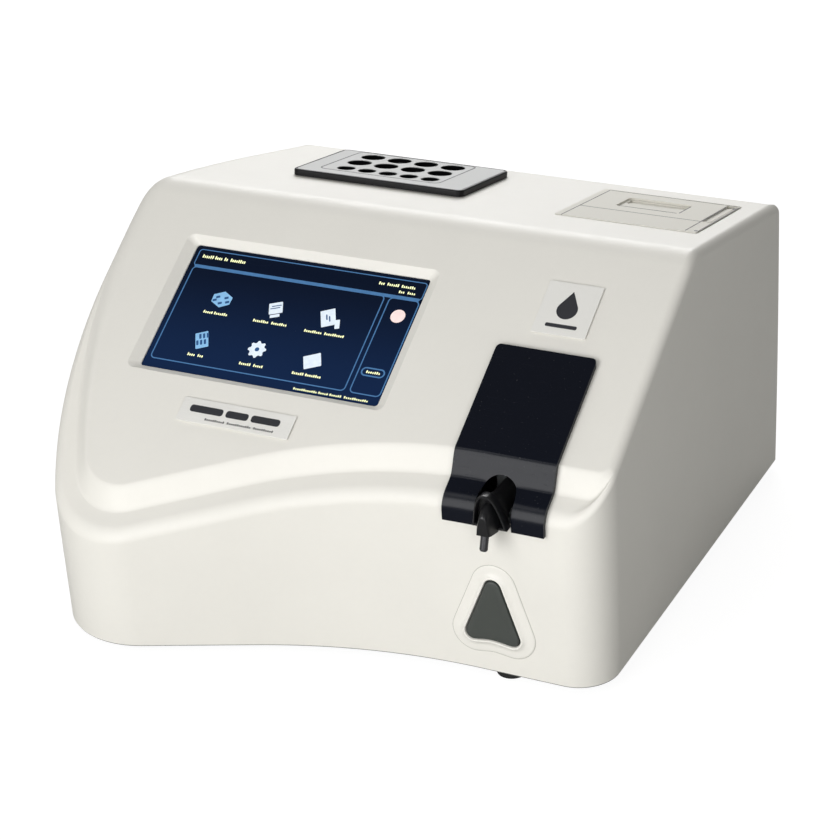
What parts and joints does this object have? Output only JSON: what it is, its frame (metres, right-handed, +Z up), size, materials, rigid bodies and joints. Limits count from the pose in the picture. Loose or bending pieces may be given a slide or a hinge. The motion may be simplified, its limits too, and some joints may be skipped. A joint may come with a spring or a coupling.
{
  "type": "benchtop chemistry analyzer",
  "caption": "Benchtop chemistry analyzer with a sloped touch screen, stepped skirt, lift-off sampler cover, aspirator, start key, tube incubator and lidded roof printer.",
  "frame": {"origin": "middle of the bounding box's underside, where the feet rest", "axes": "+X to the right seen from the front, +Y to the rear, +Z up"},
  "size_m": [0.367, 0.3496, 0.2077],
  "materials": {
    "case_cream": "fine satin moulding",
    "bezel_cream": "satin",
    "screen_glass": "gloss",
    "cover_navy": "gloss",
    "black_moulding": "satin",
    "dark_metal": "satin",
    "key_grey": "matte",
    "pale_plastic": "satin",
    "silver_label": "satin print",
    "aluminium": "machined",
    "dark_aluminium": "black anodised",
    "steel": "zinc plated",
    "supply_case": "folded sheet",
    "display_module": "metal backed",
    "heater_foil": "foil",
    "rubber": "matte",
    "paper": "matte paper",
    "ceramic": "fired",
    "grey_paint": "powder coat",
    "board_green": "solder mask",
    "clear_glass": "clear"
  },
  "bodies": {
    "case": {"housing_shell": "case_cream", "touch_glass": "screen_glass", "lcd_module": "display_module", "screen_bracket": "steel", "model_plate": "pale_plastic", "emblem_plate": "pale_plastic", "aspirator_hood": "black_moulding", "sipper_tube": "dark_metal", "trigger_bezel": "bezel_cream", "trigger_switch": "board_green", "incubator_frame": "black_moulding", "incubator_label": "silver_label", "incubator_block": "aluminium", "heater_plate": "heater_foil", "printer_frame": "case_cream", "door_pin": "steel", "thermal_head": "ceramic", "base_plate": "steel", "foot_front_right": "rubber", "foot_front_left": "rubber", "foot_rear_right": "rubber", "foot_rear_left": "rubber", "rear_panel": "grey_paint", "fan_frame": "black_moulding", "power_inlet": "black_moulding", "switch_frame": "black_moulding", "serial_port": "steel", "usb_port": "steel", "waste_port": "pale_plastic", "rear_screw_1": "steel", "rear_screw_2": "steel", "rear_screw_3": "steel", "rear_screw_4": "steel", "optical_bench": "aluminium", "flow_cell": "clear_glass", "lamp_holder": "ceramic", "halogen_lamp": "clear_glass", "filter_motor": "dark_metal", "detector_board": "board_green", "pump_body": "pale_plastic", "pump_motor": "steel", "main_board": "board_green", "power_supply": "supply_case"},
    "cover": {"flow_cell_cover": "cover_navy"},
    "door": {"printer_door": "case_cream"},
    "start_key": {"trigger_button": "key_grey"},
    "rocker": {"power_switch": "black_moulding"},
    "fan": {"fan_rotor": "black_moulding"},
    "filters": {"filter_wheel": "dark_aluminium"},
    "pump": {"pump_rotor": "black_moulding"},
    "platen": {"platen_roller": "rubber"},
    "roll": {"paper_roll": "paper"}
  },
  "joints": [
    {"name": "cover_lift", "type": "slide", "parent": "case", "child": "cover", "axis": [0, -0.5191, 0.8547], "range_m": [0, 0.045]},
    {"name": "printer_door_hinge", "type": "hinge", "parent": "case", "child": "door", "pos_m": [0.1604, 0.11757, 0.18937], "axis": [0, 0.9828, -0.1848], "range_deg": [0, 95]},
    {"name": "start_key_press", "type": "slide", "parent": "case", "child": "start_key", "axis": [0, 1, 0], "range_m": [0, 0.0025], "stiffness_N_per_m": 400},
    {"name": "power_rocker", "type": "hinge", "parent": "case", "child": "rocker", "pos_m": [-0.07649, 0.15911, 0.091], "axis": [-1, 0, 0], "range_deg": [0, 16]},
    {"name": "fan_spin", "type": "hinge", "parent": "case", "child": "fan", "pos_m": [0.0835, 0.15901, 0.072], "axis": [0, 1, 0], "continuous": true},
    {"name": "filter_spin", "type": "hinge", "parent": "case", "child": "filters", "pos_m": [0.09151, -0.07689, 0.0926], "axis": [1, 0, 0], "continuous": true},
    {"name": "pump_spin", "type": "hinge", "parent": "case", "child": "pump", "pos_m": [-0.0385, -0.08989, 0.0513], "axis": [0, 1, 0], "continuous": true},
    {"name": "platen_spin", "type": "hinge", "parent": "case", "child": "platen", "pos_m": [0.11821, 0.09761, 0.18061], "axis": [1, 0, 0], "continuous": true},
    {"name": "roll_spin", "type": "hinge", "parent": "case", "child": "roll", "pos_m": [0.11821, 0.11465, 0.16571], "axis": [1, 0, 0], "continuous": true}
  ]
}
